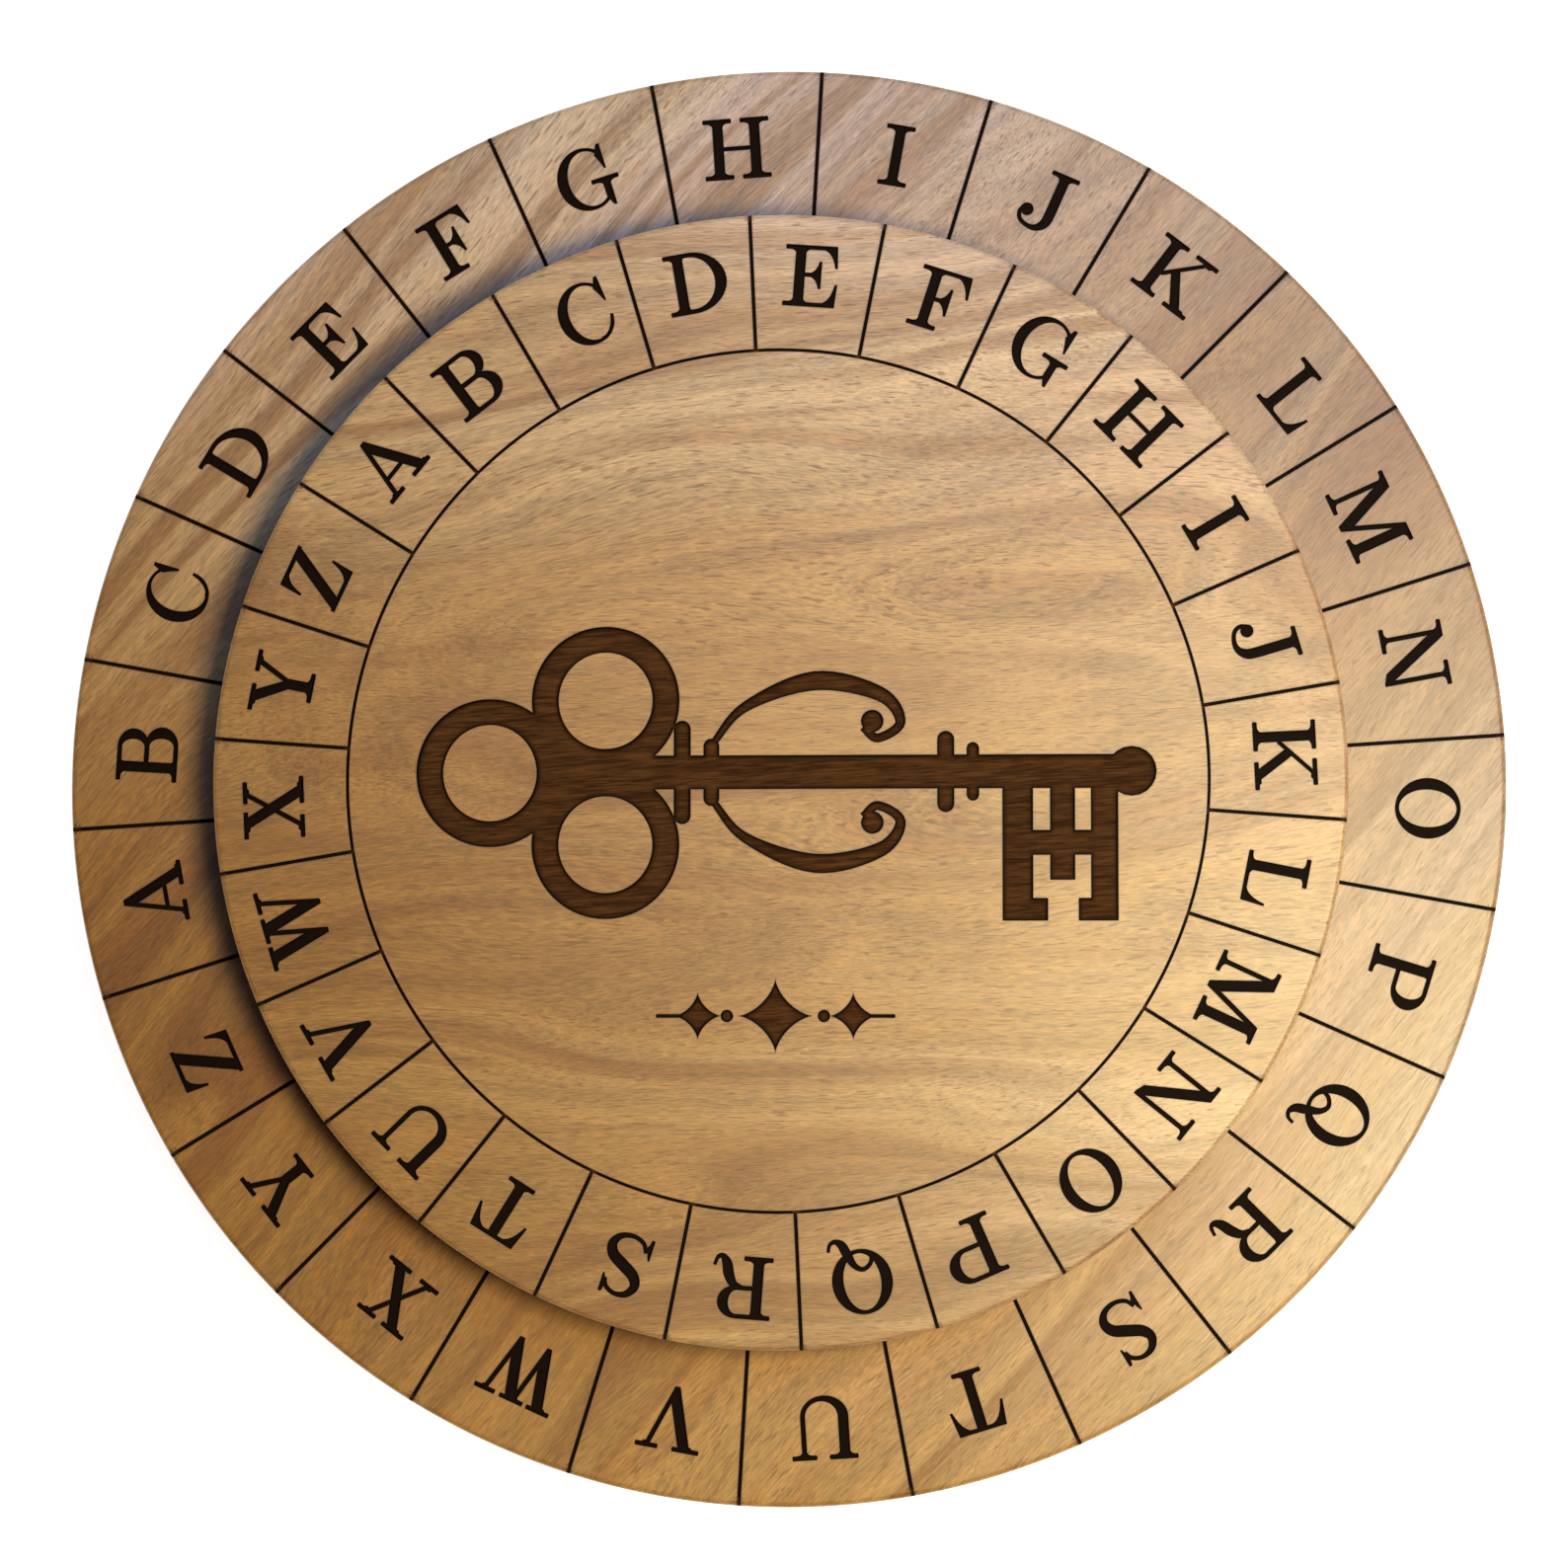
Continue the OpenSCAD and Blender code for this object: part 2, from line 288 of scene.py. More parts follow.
# %% The alphabet
def alphabet():
    """Each letter's quads, from A to Z. The foot of a letter stands on y = 0."""
    return {
        "A": [q * [1, -1] + [0, CAP] for q in vee(83.5, 15.5, 45.5, 18, 8, 9)] + beam(24, 29, 74, 36)
            + serif(0, 34, 11.5, 20, heel=3) + serif(58, 99, 75, 92, heel=3),
        "B": stem(23, STEM, (0, 34), (0, 34)) + bowl(23, 48, 100, 85, 17) + bowl(23, 0, 55, 89, 18.5),
        "C": letter_c(),
        "D": stem(23, STEM, (0, 34), (0, 34)) + bowl(23, 0, 100, 98, 19),
        "E": stem(25, STEM, (0, 40), (0, 40)) + beam(25, CAP - ARM, 84, CAP) + beam(25, 0, 84, ARM)
            + barb(84, CAP, 1, -1, 36, 2) + barb(84, 0, 1, 1, 38, 3)
            + beam(25, 48.5, 58, 55.5) + barb(60, 48.5, 1, 1, 26, 0, 9) + barb(60, 55.5, 1, -1, 26, 0, 9),
        "F": stem(25, STEM, (0, 48), (0, 40)) + beam(25, CAP - ARM, 82, CAP) + barb(82, CAP, 1, -1, 37, 3)
            + beam(25, 46.5, 56, 53.5) + barb(58, 46.5, 1, 1, 26, 0, 9) + barb(58, 53.5, 1, -1, 26, 0, 9),
        "G": letter_g(),
        "H": stem(24, STEM, (0, 47), (0, 47)) + stem(84, STEM, (61, 108), (61, 108)) + beam(24, 47, 84, 54),
        "I": stem(23.5, STEM, (0, 47), (0, 47)),
        "J": letter_j(),
        "K": stem(25, STEM, (0, 47), (0, 47)) + limb(31, 89, 10, 9, 38, 98)
            + serif(62, 105, 85, 93, CAP, -1, 3) + strip([(80, 0), (44, 52)], [(99.5, 0), (55, 63)])
            + serif(64, 109, 80, 99, heel=3),
        "L": stem(25, STEM, (2, 40), (0, 47)) + beam(25, 0, 83, ARM) + barb(83, 0, 1, 1, 39, 4),
        "M": stem(17, 8, (0, 36), None) + stem(101, STEM, (80, 122), None) + serif(0, 22, 13, 20, CAP, -1)
            + vee(20, 97, 59.5, 20, 9, 9, -1) + serif(93, 122, 95, 109.5, CAP, -1),
        "N": stem(19, 8, (0, 40), None) + stem(88, 8, None, (66, 106)) + serif(0, 22, 15, 22, CAP, -1)
            + limb(82, 17, 20, 21) + strip([(72, 0), (87, -5)], [(92, 0), (92, -5)]),
        "O": letter_o(),
        "P": stem(23, STEM, (0, 47), (0, 34)) + bowl(23, 42, 100, 90, 18.5),
        "Q": letter_q(),
        "R": letter_r(),
        "S": letter_s(),
        "T": stem(44, STEM, (20, 68), None) + beam(5, CAP - ARM, 83, CAP) + barb(5, CAP, -1, -1, 41, 5)
            + barb(83, CAP, 1, -1, 41, 5),
        "U": stem(21, STEM, None, (0, 46), 32) + stem(86, 8, None, (66, 106), 32)
            + band((51.25, 32, 38.75, 34), (55.75, 32, 26.25, 25), 180, 360, 30),
        "V": vee(23, 87, 51) + serif(0, 44, 14, 32, CAP, -1, 3) + serif(67, 104, 83, 91, CAP, -1, 3),
        "W": vee(20, 64, 41.5) + vee(67, 114, 89.5) + serif(0, 40, 11, 29, CAP, -1, 3)
            + serif(46, 87, 58, 76, CAP, -1, 3) + serif(95, 131, 110, 118, CAP, -1, 3),
        "X": limb(79, 22, 20) + limb(17, 76, 9) + serif(0, 44, 13, 31, CAP, -1, 3)
            + serif(57, 93, 72, 80, CAP, -1, 3) + serif(0, 37, 13, 21, heel=3)
            + serif(55, 99, 70, 88, heel=3),
        "Y": stem(53, STEM, (29, 77), None, 0, 44) + limb(53, 21, 17, 20, 40) + limb(56, 84, 9, 9, 42)
            + serif(0, 44, 12, 30, CAP, -1, 3) + serif(64, 100, 80, 88, CAP, -1, 3),
        "Z": beam(6, CAP - ARM, 76, CAP) + limb(12, 67, 21) + beam(2, 0, 74, ARM)
            + barb(6, CAP, -1, -1, 38, 3) + barb(74, 0, 1, 1, 38, 4),
    }


letters = alphabet()
print(len(letters), "letters,", sum(map(len, letters.values())), "quads")

# %% [markdown]
# ## The mark in the middle
# The middle of the turning disc carries an ornament, an old-fashioned door key: three rings for a bow, turned
# collars, a notched bit and a pair of scrolls, over a row of small stars. It is drawn with the same strokes
# as the letters, straight in millimetres. Its broad floors are where the burnt grain shows best.


# %% Key and stars
def star(cx, cy, a, b):
    """A four-pointed star with hollow sides, each a quarter of an astroid: x = a cos^3 t, y = b sin^3 t."""
    t = np.radians(np.linspace(0, 180, 25))
    x, y = a * np.cos(t) ** 3, b * np.sin(t) ** 3
    return strip(np.stack([cx + x, cy + y], 1), np.stack([cx + x, cy - y], 1))


def pin(x, h, w):
    """A collar seen from the side: an upright bar of half height h and width w with round ends."""
    rod = beam(x - w / 2, w / 2 - h, x + w / 2, h - w / 2)
    return rod + ball(x, h - w / 2, w / 2) + ball(x, w / 2 - h, w / 2)


def key():
    bow = -19.5
    quads = []
    for turn in np.radians((60, 180, 300)):
        cx, cy = bow + 6.9 * np.cos(turn), 7.4 * np.sin(turn)
        quads += hoop((cx, cy, 6.6, 6.6), (cx, cy, 4.2, 4.3))
    quads += ball(bow, 0, 2.65, 36)
    quads += beam(bow + 2.5, -1.5, 29, 1.5) + ball(30.6, 0, 2.2)
    quads += pin(-9.2, 4.6, 1.5) + pin(-6.6, 3.0, 1.4) + pin(14.2, 3.6, 1.5) + pin(16.6, 2.6, 1.1)
    quads += beam(19.2, -13.2, 21.9, 0) + beam(23.4, -9.6, 25.6, 0) + beam(27, -13.2, 29.4, 0)
    quads += beam(19.2, -7.4, 29.4, -5.2) + beam(19.2, -13.2, 23.2, -11.2) + beam(25.9, -13.2, 29.4, -11.2)
    scroll = np.array([(-6.6, 2.4, 0.6), (-3.6, 5.8, 0.9), (2.6, 8.1, 1.7), (8.4, 6.9, 1.3), (10.2, 4.4, 0.9),
                       (8.2, 3.0, 0.8), (6.9, 4.0, 0.8)])
    for s in (1, -1):
        quads += sweep(scroll * [1, s, 1], 8) + ball(7.7, s * 4.5, 1.0)
    return [q + [0.9, 0.6] for q in quads]


def star_row():
    quads = star(0, 0, 3.3, 3.3)
    for s in (-1, 1):
        quads += ball(4.3 * s, 0, 0.55) + star(6.9 * s, 0, 2.1, 2.1)
        quads += beam(min(8.4 * s, 10.6 * s), -0.16, max(8.4 * s, 10.6 * s), 0.16)
    return [q + [0, -21] for q in quads]


middle_mark = key() + star_row()
print("middle mark:", len(middle_mark), "quads")

# %% [markdown]
# ## From strokes to outlines
# A laser follows one outline, not a heap of strokes. Blender's triangulator can join overlapping quads: it
# cuts them where they cross and returns the triangles that lie inside any of them. An edge that belongs to
# only one of those triangles is on the outline, and it runs with the shape on its left. The same rule later
# tells walls from floors. A boolean modifier would do the union too, but is slower and leaves rougher edges.


# %% Outlines
def outline(quads, short=0.6):
    """The edges round a heap of quads, as starts and ends with the shape on the left of each. A triangle of
    the cut-up heap belongs to the shape when its middle is to the left of all three sides of some stroke's
    half. Edges shorter than short are drawn together onto one of their ends."""
    q = np.array(quads)
    tris = np.concatenate([q[:, [0, 1, 2]], q[:, [0, 2, 3]]])
    points, ids = np.unique(tris.reshape(-1, 2).round(4), axis=0, return_inverse=True)
    tris = counter_clockwise(points, ids.reshape(-1, 3), (0.05 * short) ** 2)
    found = delaunay_2d_cdt(list(map(Vector, points)), [], tris.tolist(), 0, max(0.002 * short, 1e-5), False)
    cells = counter_clockwise(np.array(found[0]), np.array(found[2]))
    middles = np.array(found[0])[cells].mean(1)
    points, corners = np.array(found[0]), points[tris]
    sides = np.roll(corners, -1, 1) - corners
    to_middle = middles[:, None, None] - corners
    turn = sides[..., 0] * to_middle[..., 1] - sides[..., 1] * to_middle[..., 0]
    tris = cells[(turn > 0).all(2).any(1)]
    edges = lone_edges(tris)
    lead = np.arange(len(points))
    for _ in range(4):
        near = edges[np.linalg.norm(points[edges[:, 0]] - points[edges[:, 1]], axis=1) < short]
        np.minimum.at(lead, near[:, 0], lead[near[:, 1]])
        np.minimum.at(lead, near[:, 1], lead[near[:, 0]])
    edges = lead[edges]
    edges = edges[edges[:, 0] != edges[:, 1]]
    return points[edges[:, 0]], points[edges[:, 1]]


def doubled_area(points, tris):
    """The cross product of two sides, which is above 0 for a triangle that runs counter-clockwise."""
    u, v = points[tris[:, 1]] - points[tris[:, 0]], points[tris[:, 2]] - points[tris[:, 0]]
    return u[:, 0] * v[:, 1] - u[:, 1] * v[:, 0]


def counter_clockwise(points, tris, least=1e-9):
    """The triangles, each turned so that it runs counter-clockwise, without those whose doubled area is not
    above least."""
    area = doubled_area(points, tris)
    tris = np.where(area[:, None] < 0, tris[:, ::-1], tris)
    return tris[np.abs(area) > least]


def lone_edges(tris):
    """Directed edges of tris that no other triangle of tris runs along the other way."""
    edges = np.concatenate([tris[:, [0, 1]], tris[:, [1, 2]], tris[:, [2, 0]]])
    size = edges.max() + 1
    back = edges[:, 1] * size + edges[:, 0]
    return edges[~np.isin(edges[:, 0] * size + edges[:, 1], back)]


def divide(a, b, step):
    """Cuts each straight edge from a to b into equal pieces no longer than step."""
    n = np.maximum(1, np.ceil(np.linalg.norm(b - a, axis=1) / step)).astype(int)
    row = np.repeat(np.arange(len(a)), n)
    k = np.arange(n.sum()) - np.repeat(np.cumsum(n) - n, n)
    along = (b - a)[row]
    return a[row] + along * (k / n[row])[:, None], a[row] + along * ((k + 1) / n[row])[:, None]


def inside(p, a, b):
    """Crossing number: a point is inside when the level ray to its right meets an odd number of edges."""
    spans = (a[:, 1] <= p[:, 1:]) != (b[:, 1] <= p[:, 1:])
    rise = np.where(a[:, 1] == b[:, 1], 1, b[:, 1] - a[:, 1])
    x = a[:, 0] + (p[:, 1:] - a[:, 1]) * (b[:, 0] - a[:, 0]) / rise
    return (spans & (p[:, :1] < x)).sum(1) % 2 == 1


def distance(p, a, b):
    """How far each point is from the nearest edge: the foot of the perpendicular, kept between the ends."""
    d = b - a
    t = np.clip(((p[:, None] - a) * d).sum(2) / (d ** 2).sum(1), 0, 1)
    return np.linalg.norm(p[:, None] - a - t[..., None] * d, axis=2).min(1)


sample = outline(letters["R"])
print("R has an outline of", len(sample[0]), "edges")

# %% [markdown]
# ## Pockets
# Each shape that the laser cuts is a pocket: an outline, a depth, and how deeply its floor is charred. Soot
# lies thickest against the walls and thins out towards the middle of a broad floor, and a faint brown rim of
# smoke is left on the wood outside. That fade needs points to hold it, so a few rows of loose points follow
# the outline at set distances on both sides. Each carries a soot value, which the materials read.

# %% Pockets with rows of soot points
IN_ROWS = (0.12, 0.30, 0.60)                # rows inside the outline, in mm
OUT_ROWS = ((0.06, 0.25), (0.18, 0.0))      # rows outside it, with their soot
SOOT_FADE = 0.36                            # over this distance soot falls to a third


def pocket(edges, depth, char, step=0.25):
    """An outline in millimetres with its soot rows, which start from the middle of each edge and from each
    sharp corner. Inside, soot is char + (1 - char) exp(-d / SOOT_FADE)."""
    a, b = divide(*edges, step)
    along = (b - a) / np.linalg.norm(b - a, axis=1)[:, None]
    left = np.stack([-along[:, 1], along[:, 0]], 1)
    rows = [(d, char + (1 - char) * np.exp(-d / SOOT_FADE)) for d in IN_ROWS] + [(-d, s) for d, s in OUT_ROWS]
    ends, ids = np.unique(np.concatenate([a, b]).round(4), axis=0, return_inverse=True)
    lean = np.zeros_like(ends)
    np.add.at(lean, ids.ravel(), np.concatenate([left, left]))
    size = np.linalg.norm(lean, axis=1)
    sharp = (size < 1.8) & (size > 1e-6)
    starts = np.concatenate([(a + b) / 2, ends[sharp]])
    left = np.concatenate([left, lean[sharp] / size[sharp, None]])
    loose, soot = [], []
    for offset, value in rows:
        p = starts + left * offset
        p = p[np.unique((p / 0.07).round(), axis=0, return_index=True)[1]]
        p = p[(inside(p, a, b) == (offset > 0)) & (distance(p, a, b) > 0.8 * abs(offset))]
        loose.append(p)
        soot.append(np.full(len(p), value))
    return {"edges": edges, "a": a, "b": b, "loose": np.concatenate(loose), "soot": np.concatenate(soot),
            "depth": depth}


def moved(shape, turn, radius=0.0, shift=0.0):
    """The pocket moved out by radius and along by shift, and then turned clockwise by turn degrees."""
    t = np.radians(turn)
    spin = np.array([[np.cos(t), -np.sin(t)], [np.sin(t), np.cos(t)]])

    def place(p):
        return (p + [shift, radius]) @ spin

    a, b = shape["edges"]
    return shape | {"edges": (place(a), place(b)), "a": place(shape["a"]), "b": place(shape["b"]),
                    "loose": place(shape["loose"])}


# Each letter's own place along its cell, in mm clockwise of the cell's middle. These were read one by one and
# are good to about 0.1 mm.
BASE_NUDGE = dict(A=.58, B=-.53, C=.26, D=.11, E=-.37, F=0, G=-.29, H=-.37, I=.21, J=.53, K=.07, L=1.53,
                  M=.24, N=-.53, O=-.90, P=.58, Q=-.05, R=-1.19, S=-1.16, T=.04, U=-.24, V=-.53, W=-.48,
                  X=-1.14,
                  Y=-.55, Z=-1.35)
ROTOR_NUDGE = dict(A=.37, B=-.27, C=.85, D=.42, E=-.19, F=.71, G=0, H=-.07, I=.24, J=.77, K=.11, L=.39, M=.29,
                   N=-.39, O=-.66, P=.63, Q=-.21, R=-.38, S=-.67, T=.02, U=-.35, V=-.33, W=-.07, X=-.36,
                   Y=-.18, Z=-1.04)


def letter_ring(unit, radius, first_line, a_cell, nudge, char):
    """All the letters of one scale. The letter A stands in cell a_cell, counted clockwise from first_line."""
    ring = []
    for k, (name, quads) in enumerate(letters.items()):
        a, b = outline(quads)
        middle = np.array([(a[:, 0].min() + a[:, 0].max()) / 2, CAP / 2])
        shape = pocket(((a - middle) * unit, (b - middle) * unit), LETTER_DEPTH, char)
        ring.append(moved(shape, first_line + (a_cell + k + 0.5) * PITCH, radius, nudge[name]))
    return ring


def line_ring(width, first_line, inner, outer):
    """The division lines of one scale: one straight groove on each side of every cell."""
    line = pocket(outline(beam(-width / 2, inner, width / 2, outer), 0), LINE_DEPTH, 0.4, 0.4)
    return [moved(line, first_line + k * PITCH) for k in range(CELLS)]


def rim_reach(radius, edge, drop=0.30):
    """The radius at which a disc's rounded rim has dropped by drop, where grooves run out."""
    return radius - edge + np.sqrt(edge ** 2 - (edge - drop) ** 2)


base_pockets = letter_ring(BASE_LETTER_UNIT, BASE_LETTER_R, BASE_TURN, -8, BASE_NUDGE, 0.8)
base_pockets += line_ring(BASE_LINE_W, BASE_TURN, 49.3, rim_reach(BASE_R, BASE_EDGE))
rotor_pockets = letter_ring(ROTOR_LETTER_UNIT, ROTOR_LETTER_R, ROTOR_TURN, -4, ROTOR_NUDGE, 0.8)
rotor_pockets += line_ring(ROTOR_LINE_W, ROTOR_TURN, RING_R, rim_reach(ROTOR_R, ROTOR_EDGE))
rotor_pockets += [pocket(outline(middle_mark, 0.03), MARK_DEPTH, 0.0, 0.35)]
print("edges to cut: base", sum(len(p["a"]) for p in base_pockets),
      "rotor", sum(len(p["a"]) for p in rotor_pockets))

# %% [markdown]
# ## Cutting a board
# The top face of a board is one flat triangulation. Its fixed edges are the circles round the rim and the
# outlines of all the pockets, and its loose points are the soot rows. Triangles inside a pocket become floor,
# the rest stays land, and a wall joins the two wherever they meet. Walls lean in slightly, as a laser's
# tapered beam leaves them. The rim, back and bores are one profile turned round the axis.
# Displacing a very fine grid would be simpler, but no grid is fine enough to keep a serif crisp.

# %% Circles, heights and the turned profile
WALL_LEAN = 0.05        # the foot of a wall stands this far into the pocket
RIM_STEPS = np.radians(np.arange(0, 91, 15))


def circle(radius, n=SEGMENTS):
    """n points round the axis: (r cos t, r sin t)."""
    t = np.arange(n) * 2 * np.pi / n
    return np.stack([radius * np.cos(t), radius * np.sin(t)], 1)


def land_height(r, radius, edge, top):
    """Level of the untouched top at radius r: flat, and then a quarter round down to the side."""
    over = np.where(r > radius - 0.001, edge, np.clip(r - (radius - edge), 0, edge))
    return top - edge + np.sqrt(edge ** 2 - over ** 2)


def turned(profile):
    """Carries a profile of rows (radius, level) round the axis. Going down the outside and in along the
    back keeps the faces pointing out."""
    r, z = np.array(profile, float).T
    xy = circle(1.0)
    level = np.broadcast_to(z[:, None, None], (len(r), SEGMENTS, 1))
    points = np.concatenate([r[:, None, None] * xy, level], 2)
    k, j = np.meshgrid(np.arange(len(r) - 1), np.arange(SEGMENTS), indexing="ij")
    n = (j + 1) % SEGMENTS
    quads = np.stack([k * SEGMENTS + j, (k + 1) * SEGMENTS + j, (k + 1) * SEGMENTS + n, k * SEGMENTS + n], -1)
    return points.reshape(-1, 3), quads.reshape(-1, 4)


def rim_round(radius, edge, low):
    """The rounded lower rim, from the side to the back."""
    return [(radius - edge + edge * np.cos(a), low + edge - edge * np.sin(a)) for a in RIM_STEPS]


# %% The engraved top face
def engraved_top(radius, edge, top, pockets, ring=None, bore=None):
    """Triangulates the top of a board. Returns its flat points, the height of each, the triangles, the depth
    of each (0 on land), the edges where walls stand, and the soot at each point."""
    rims = [circle(radius - edge - 0.15)] + [circle(radius - edge + edge * np.sin(a)) for a in RIM_STEPS]
    rims += [circle(bore)] if bore else []
    soft = [(p["loose"], p["soot"]) for p in pockets]
    if ring:
        ring_r, half = ring[0], ring[1] / 2
        rims += [circle(ring_r - half), circle(ring_r + half)]
        soft += [(circle(ring_r + side * (half + d)), np.full(SEGMENTS, s))
                 for side in (-1, 1) for d, s in OUT_ROWS]
    starts = [(c, np.roll(c, -1, 0)) for c in rims] + [(p["a"], p["b"]) for p in pockets]
    a, b = (np.concatenate(part) for part in zip(*starts))
    loose, loose_soot = (np.concatenate(part) for part in zip(*soft))
    within = np.hypot(*loose.T) < radius - 0.02
    loose, loose_soot = loose[within], loose_soot[within]
    given = np.concatenate([a, b, loose])
    points, ids = np.unique(given.round(4), axis=0, return_inverse=True)
    ids = ids.ravel()
    edges = np.stack([ids[:len(a)], ids[len(a):2 * len(a)]], 1)
    found = delaunay_2d_cdt(list(map(Vector, points)), edges.tolist(), [], 0, 1e-5, True)
    points = np.array(found[0])
    tris = counter_clockwise(points, np.array(found[2]))
    soot_in = np.zeros(ids.max() + 1)
    soot_in[ids[2 * len(a):]] = loose_soot
    first = np.array([o[0] if o else -1 for o in found[3]])
    soot = np.where(first >= 0, soot_in[first], 0.0)
    middle = points[tris].mean(1)
    depth = np.zeros(len(tris))
    for shape in pockets:
        pa, pb = shape["edges"]
        low, high = pa.min(0), pa.max(0)
        near = np.flatnonzero(((middle > low) & (middle < high)).all(1))
        hit = near[inside(middle[near], pa, pb)]
        depth[hit] = shape["depth"]
    if ring:
        depth[np.abs(np.hypot(*middle.T) - ring_r) < half] = LINE_DEPTH
    if bore:
        keep = np.hypot(*points.T)[tris].max(1) > bore + 0.01
        tris, depth = tris[keep], depth[keep]
    floor = depth > 0
    walls = lone_edges(tris[floor])
    land = land_height(np.hypot(*points.T), radius, edge, top)
    height = land.copy()
    height[tris[floor].ravel()] = top - np.repeat(depth[floor], 3)
    on_land = np.unique(tris[~floor])
    height[on_land] = land[on_land]
    print(f"  {len(points)} points, {floor.sum()} floor and {(~floor).sum()} land triangles,",
          len(walls), "walls")
    return points, height, tris, depth, walls, soot


def sink_walls(points, height, tris, depth, walls, soot, top):
    """Gives every pocket its own lower copy of its outline, drawn WALL_LEAN into the pocket, and joins it
    to the upper one with wall quads. Where a tip is so narrow that leaning would turn a floor triangle over,
    the wall stays upright."""
    along = points[walls[:, 1]] - points[walls[:, 0]]
    along /= np.linalg.norm(along, axis=1)[:, None]
    left = np.stack([-along[:, 1], along[:, 0]], 1)
    normal = np.zeros_like(points)
    np.add.at(normal, walls[:, 0], left)
    np.add.at(normal, walls[:, 1], left)
    upper = np.unique(walls)
    length = np.linalg.norm(normal[upper], axis=1)[:, None]
    floor = depth > 0
    lean = np.zeros_like(points)
    lean[upper] = normal[upper] / np.maximum(length, 1.0) * WALL_LEAN
    for _ in range(4):
        crushed = doubled_area(points + lean, tris[floor]) <= 0
        lean[tris[floor][crushed]] = 0
    lower_xy = points[upper] + lean[upper]
    depth_at = np.zeros(len(points))
    np.maximum.at(depth_at, tris[floor].ravel(), np.repeat(depth[floor], 3))
    below = np.arange(len(points))
    below[upper] = len(points) + np.arange(len(upper))
    tris = tris.copy()
    tris[floor] = below[tris[floor]]
    i, j = walls.T
    quads = np.stack([i, j, below[j], below[i]], 1)
    xyz = np.column_stack([np.vstack([points, lower_xy]), np.concatenate([height, top - depth_at[upper]])])
    soot = np.concatenate([soot, np.ones(len(upper))])
    soot[upper] = 1.0
    return xyz, tris, quads, soot, floor


# %% One closed mesh for each board
def board(name, node, body, top_face, profile, top):
    """Joins the engraved top and the turned back into one closed mesh that stands for a CAD disc. Its first
    material slot is bare wood, and the second is burnt wood, for floors and walls."""
    xyz, tris, quads, soot, floor = sink_walls(*top_face, top)
    back_xyz, back_quads = turned(profile)
    mesh = bpy.data.meshes.new(name)
    faces = tris.tolist() + quads.tolist() + (back_quads + len(xyz)).tolist()
    mesh.from_pydata((np.vstack([xyz, back_xyz]) * MM).tolist(), [], faces)
    burnt = np.concatenate([floor, np.ones(len(quads), bool), np.zeros(len(back_quads), bool)])
    mesh.polygons.foreach_set("material_index", burnt.astype(np.int32))
    soot = np.concatenate([soot, np.zeros(len(back_xyz))]).astype(np.float32)
    mesh.attributes.new("soot", "FLOAT", "POINT").data.foreach_set("value", soot)
    seam = bmesh.new()
    seam.from_mesh(mesh)
    bmesh.ops.remove_doubles(seam, verts=seam.verts, dist=5e-7)
    open_edges = sum(not e.is_manifold for e in seam.edges)
    seam.to_mesh(mesh)
    seam.free()
    mesh.shade_smooth()
    mesh.set_sharp_from_angle(angle=np.radians(35))
    piece = bpy.data.objects.new(name, mesh)
    bpy.context.scene.collection.objects.link(piece)
    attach(piece, body)
    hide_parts(node)
    print(f"{name}: {len(mesh.polygons)} faces, {open_edges} open edges")
    return piece


BUSH_R, COUNTERBORE_R, FLANGE = 3.5, 6.5, 0.8
COUNTERBORE_TOP = levels("pivot_bush")[1] + FLANGE
INSERT_R, INSERT_HOLE_TOP = 3.5, levels("threaded_insert")[2] + 0.15
BREAK = 0.25            # the arris of a drilled hole is broken by this much

base_profile = [(BASE_R, BASE_TOP - BASE_EDGE)] + rim_round(BASE_R, BASE_EDGE, BACK_Z)
base_profile += [(COUNTERBORE_R + BREAK, BACK_Z), (COUNTERBORE_R, BACK_Z + BREAK),
                 (COUNTERBORE_R, COUNTERBORE_TOP), (BUSH_R, COUNTERBORE_TOP), (BUSH_R, BASE_TOP)]
rotor_profile = [(ROTOR_R, ROTOR_TOP - ROTOR_EDGE)] + rim_round(ROTOR_R, ROTOR_EDGE, ROTOR_BACK)
rotor_profile += [(INSERT_R, ROTOR_BACK), (INSERT_R, INSERT_HOLE_TOP), (0, INSERT_HOLE_TOP)]

base_top_face = engraved_top(BASE_R, BASE_EDGE, BASE_TOP, base_pockets, bore=BUSH_R)
base_board = board("engraved_base", "base_disc", "base", base_top_face, base_profile, BASE_TOP)
rotor_top_face = engraved_top(ROTOR_R, ROTOR_EDGE, ROTOR_TOP, rotor_pockets, ring=(RING_R, RING_W))
rotor_board = board("engraved_rotor", "rotor_disc", "rotor", rotor_top_face, rotor_profile,
                    ROTOR_TOP)

# %% [markdown]
# ## Wood
# The boards are pale, fine-grained hardwood, sawn so that the growth rings lie nearly flat in the face. Wood
# is a solid, so its pattern is worked out in three dimensions: rings are shells round a pith that lay some
# way under the board, stretched along the grain, and fibres are long thin specks. The face, the back and the
# end grain on the rim then agree by themselves. A picture of a board wrapped over the mesh would show a seam
# at every edge. One node group makes the wood, and each board gives it its own grain, tree and colours.
# Each board also gets darker towards one side and paler towards two opposite edges. Those tints were chosen
# by how the finished board looks. The darker side is partly heartwood and partly painted shade, the side
# opposite it is partly sapwood and partly painted sheen, and the paler, bluer edges are painted sheen.


# %% Small helpers for node trees
def add(tree, kind, inputs=None, **settings):
    """A node of that kind. Inputs are values, or sockets to link from."""
    node = tree.nodes.new(kind)
    for name, value in settings.items():
        setattr(node, name, value)
    for name, value in (inputs or {}).items():
        if isinstance(value, bpy.types.NodeSocket):
            tree.links.new(value, node.inputs[name])
        else:
            node.inputs[name].default_value = value
    return node


def calc(tree, operation, *values, clamp=False):
    """A Math node's result."""
    node = add(tree, "ShaderNodeMath", dict(enumerate(values)), operation=operation, use_clamp=clamp)
    return node.outputs[0]


